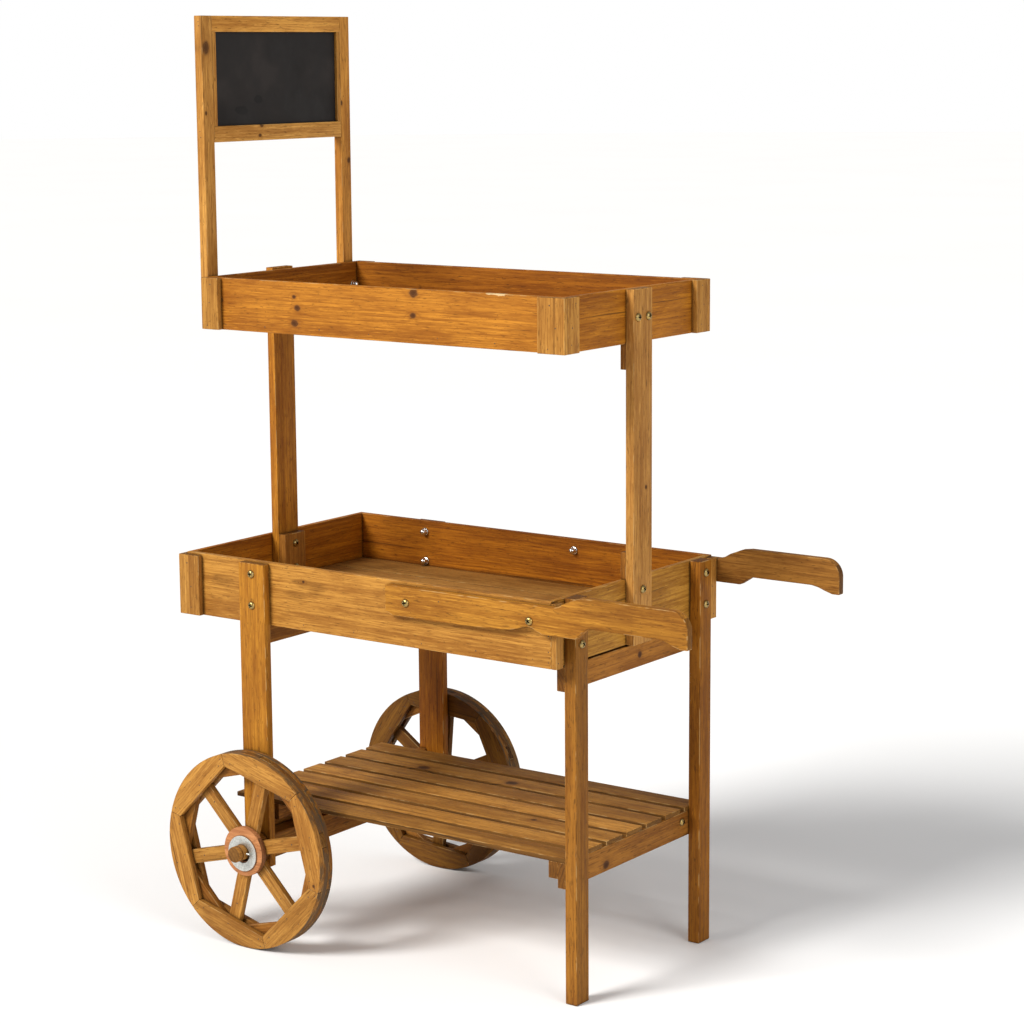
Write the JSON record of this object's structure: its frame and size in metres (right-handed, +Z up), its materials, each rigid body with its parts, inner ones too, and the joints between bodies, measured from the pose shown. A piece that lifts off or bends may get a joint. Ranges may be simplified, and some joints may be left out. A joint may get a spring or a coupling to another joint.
{
  "type": "wooden garden display cart",
  "caption": "Two-tier wooden flower cart with two spoked wheels, two legs, pull handles, a slatted shelf and a blackboard sign on posts.",
  "frame": {"origin": "on the ground, under the middle of the cart's outer box", "axes": "+X towards the handle end, +Z up, Y across the cart along the wheels' axle"},
  "size_m": [0.923, 0.559, 1.4],
  "materials": {
    "stained_pine": "honey-brown stained pine, satin",
    "stained_pine_dark": "brown stained pine, satin",
    "stained_pine_floor": "orange-brown stained pine, satin",
    "hub_wood": "reddish stained wood, satin",
    "slate_paint": "matt dark grey blackboard paint on thin board",
    "galvanised_steel": "dull galvanised steel",
    "yellow_plated_steel": "yellow zinc plated steel",
    "chromed_steel": "bright plated steel"
  },
  "bodies": {
    "cart": {"lower_side_near": "stained_pine", "lower_side_far": "stained_pine", "lower_end_wheel": "stained_pine", "lower_end_handle": "stained_pine", "lower_floor_slats": "stained_pine_floor", "lower_corner_trims": "stained_pine", "upper_side_near": "stained_pine", "upper_side_far": "stained_pine", "upper_end_wheel": "stained_pine", "upper_end_handle": "stained_pine", "upper_floor_slats": "stained_pine_floor", "upper_corner_trims": "stained_pine", "floor_battens": "stained_pine_dark", "post_wheel_end": "stained_pine", "post_handle_end": "stained_pine", "post_clamp_block": "stained_pine_dark", "post_stop_blocks": "stained_pine_dark", "wheel_leg_near": "stained_pine", "wheel_leg_far": "stained_pine", "handle_leg_near": "stained_pine", "handle_leg_far": "stained_pine", "tray_rail_wheel_end": "stained_pine_dark", "tray_rail_handle_end": "stained_pine_dark", "tray_batten_handle_end": "stained_pine_dark", "shelf_rail_wheel_end": "stained_pine_dark", "shelf_rail_handle_end": "stained_pine_dark", "shelf_batten_wheel_end": "stained_pine_dark", "shelf_batten_handle_end": "stained_pine_dark", "shelf_slats": "stained_pine_floor", "axle_beam": "stained_pine_dark", "axle_end_near": "stained_pine", "axle_end_far": "stained_pine", "axle_washers": "galvanised_steel", "axle_pins": "galvanised_steel", "handle_near": "stained_pine", "handle_far": "stained_pine", "sign_post_near": "stained_pine", "sign_post_far": "stained_pine", "sign_top_rail": "stained_pine", "sign_bottom_rail": "stained_pine", "sign_beads": "stained_pine_dark", "blackboard": "slate_paint", "leg_screws": "yellow_plated_steel", "handle_screws": "yellow_plated_steel", "post_screws": "yellow_plated_steel", "shelf_screws": "yellow_plated_steel", "cap_nuts": "chromed_steel", "rail_dowels": "stained_pine_dark"},
    "near_wheel": {"near_rim_outer": "stained_pine", "near_rim_middle": "stained_pine", "near_rim_inner": "stained_pine", "near_spokes": "stained_pine", "near_hub_outer": "hub_wood", "near_hub_inner": "stained_pine_dark"},
    "far_wheel": {"far_rim_outer": "stained_pine", "far_rim_middle": "stained_pine", "far_rim_inner": "stained_pine", "far_spokes": "stained_pine", "far_hub_outer": "hub_wood", "far_hub_inner": "stained_pine_dark"}
  },
  "joints": [
    {"name": "near_wheel_spin", "type": "hinge", "parent": "cart", "child": "near_wheel", "pos_m": [-0.3095, -0.243, 0.1515], "axis": [0, 1, 0], "continuous": true},
    {"name": "far_wheel_spin", "type": "hinge", "parent": "cart", "child": "far_wheel", "pos_m": [-0.3095, 0.243, 0.1515], "axis": [0, 1, 0], "continuous": true}
  ]
}
